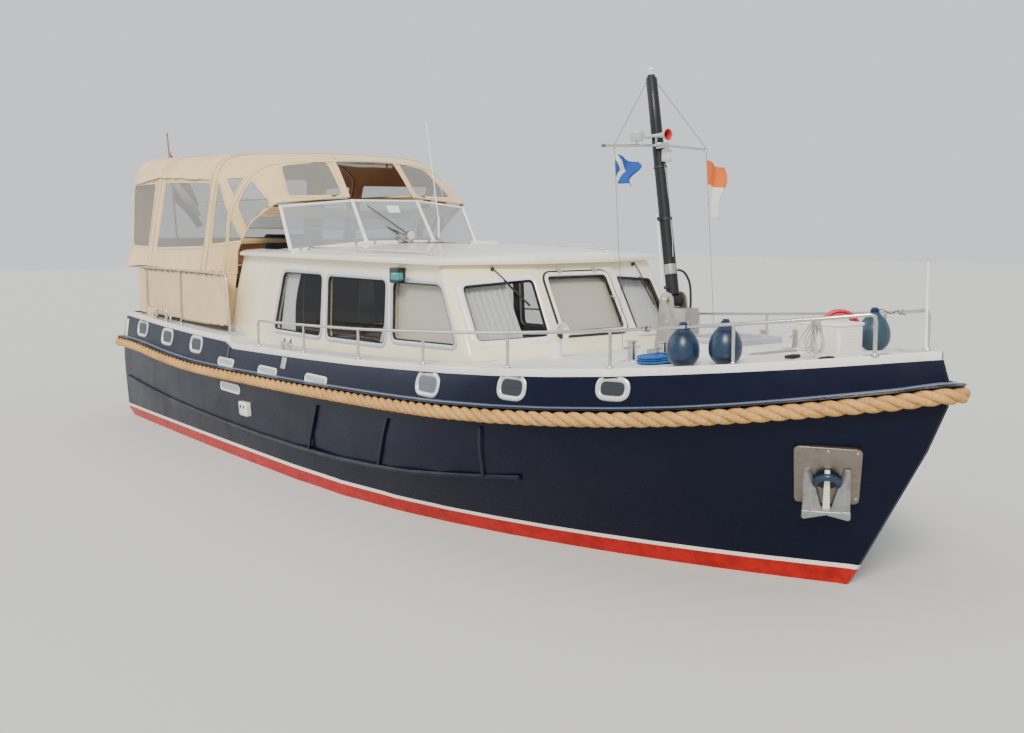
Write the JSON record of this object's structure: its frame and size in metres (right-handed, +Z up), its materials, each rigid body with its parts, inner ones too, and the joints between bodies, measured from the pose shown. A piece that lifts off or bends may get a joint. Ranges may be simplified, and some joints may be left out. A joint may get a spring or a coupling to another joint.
{
  "type": "motor yacht",
  "caption": "Steel displacement motor cruiser with a navy hull, rope fender, raised cabin, aft cockpit under a canvas canopy and a hinged signal mast.",
  "frame": {"origin": "on the centreline at the waterline, 6.5 m forward of the transom", "axes": "+X to the bow, +Y to port, +Z up"},
  "size_m": [12.3862, 3.7182, 5.0253],
  "materials": {
    "hull_paint": "gloss navy paint over red antifouling",
    "strake_paint": "dull navy-grey paint",
    "deck_paint": "white paint with non-skid",
    "cabin_paint": "cream paint",
    "window_glass": "tinted glass",
    "clear_pane": "clear glass",
    "rope": "thick three-strand rope",
    "canvas": "beige acrylic canvas",
    "stainless": "polished stainless",
    "mast_paint": "charcoal paint",
    "antifouling": "red antifouling",
    "bronze": "cast bronze",
    "timber": "dark varnished wood",
    "upholstery": "navy upholstery",
    "wheel_cover": "black",
    "fender_vinyl": "dark blue vinyl",
    "line_blue": "blue braided line",
    "line_white": "white braided line",
    "hose_red": "red hose"
  },
  "bodies": {
    "boat": {"hull": "hull_paint", "keel": "antifouling", "foredeck": "deck_paint", "deck_starboard": "deck_paint", "deck_port": "deck_paint", "cabin_shell": "cabin_paint", "window_aft_starboard": "window_glass", "window_aft_port": "window_glass", "window_middle_starboard": "window_glass", "window_middle_port": "window_glass", "window_forward_starboard": "window_glass", "window_forward_port": "window_glass", "window_front_starboard": "window_glass", "window_front_centre": "window_glass", "window_front_port": "window_glass", "cabin_roof": "deck_paint", "windscreen_frame": "deck_paint", "windscreen_pane_starboard": "clear_pane", "windscreen_pane_centre": "clear_pane", "windscreen_pane_port": "clear_pane", "rope_fender": "rope", "strake_starboard": "strake_paint", "strake_port": "strake_paint", "rail_starboard": "stainless", "rail_port": "stainless", "aft_rail": "stainless", "weather_cloth": "canvas", "canopy": "canvas", "mast_tabernacle": "stainless", "helm_console": "timber", "helm_seat": "upholstery", "stern_bench": "upholstery", "salon_settee_port": "timber", "galley_counter": "timber", "salon_table": "timber", "foredeck_hatch_frame": "deck_paint", "bollards_starboard": "stainless", "bollards_port": "stainless", "foredeck_locker": "deck_paint", "vent_cowl": "deck_paint", "fender_starboard_aft": "fender_vinyl", "fender_starboard_fore": "fender_vinyl", "fender_port": "fender_vinyl", "mooring_line": "line_blue", "bow_line": "line_white", "hose_coil": "hose_red", "roof_rail_starboard": "stainless", "roof_rail_port": "stainless", "searchlight": "stainless", "antenna": "deck_paint", "anchor_plate": "stainless", "bow_anchor": "stainless", "stern_flagstaff": "deck_paint"},
    "mast": {"mast": "mast_paint", "crosstree": "stainless"},
    "rudder": {"rudder": "antifouling"},
    "propeller": {"propeller": "bronze"},
    "steering_wheel": {"steering_wheel": "wheel_cover"},
    "hatch_lid": {"foredeck_hatch_lid": "deck_paint"},
    "companionway_door": {"companionway_door": "timber"}
  },
  "joints": [
    {"name": "mast_lower", "type": "hinge", "parent": "boat", "child": "mast", "pos_m": [2.55, 0, 2.015], "axis": [0, -1, 0], "range_deg": [0, 58]},
    {"name": "rudder_turn", "type": "hinge", "parent": "boat", "child": "rudder", "pos_m": [-5.95, 0, -0.6], "axis": [0, 0, 1], "range_deg": [-35, 35]},
    {"name": "propeller_spin", "type": "hinge", "parent": "boat", "child": "propeller", "pos_m": [-5.49, 0, -0.64], "axis": [1, 0, 0], "continuous": true},
    {"name": "steering_wheel_turn", "type": "hinge", "parent": "boat", "child": "steering_wheel", "pos_m": [-2.982, -0.51, 2.01], "axis": [1, 0, 0], "continuous": true},
    {"name": "foredeck_hatch_open", "type": "hinge", "parent": "boat", "child": "hatch_lid", "pos_m": [2.95, 0, 1.7176], "axis": [0, -1, 0], "range_deg": [0, 80]},
    {"name": "companionway_door_open", "type": "hinge", "parent": "boat", "child": "companionway_door", "pos_m": [-2.6736, 0.666, 1.845], "axis": [0, 0, -1], "range_deg": [0, 90]}
  ]
}
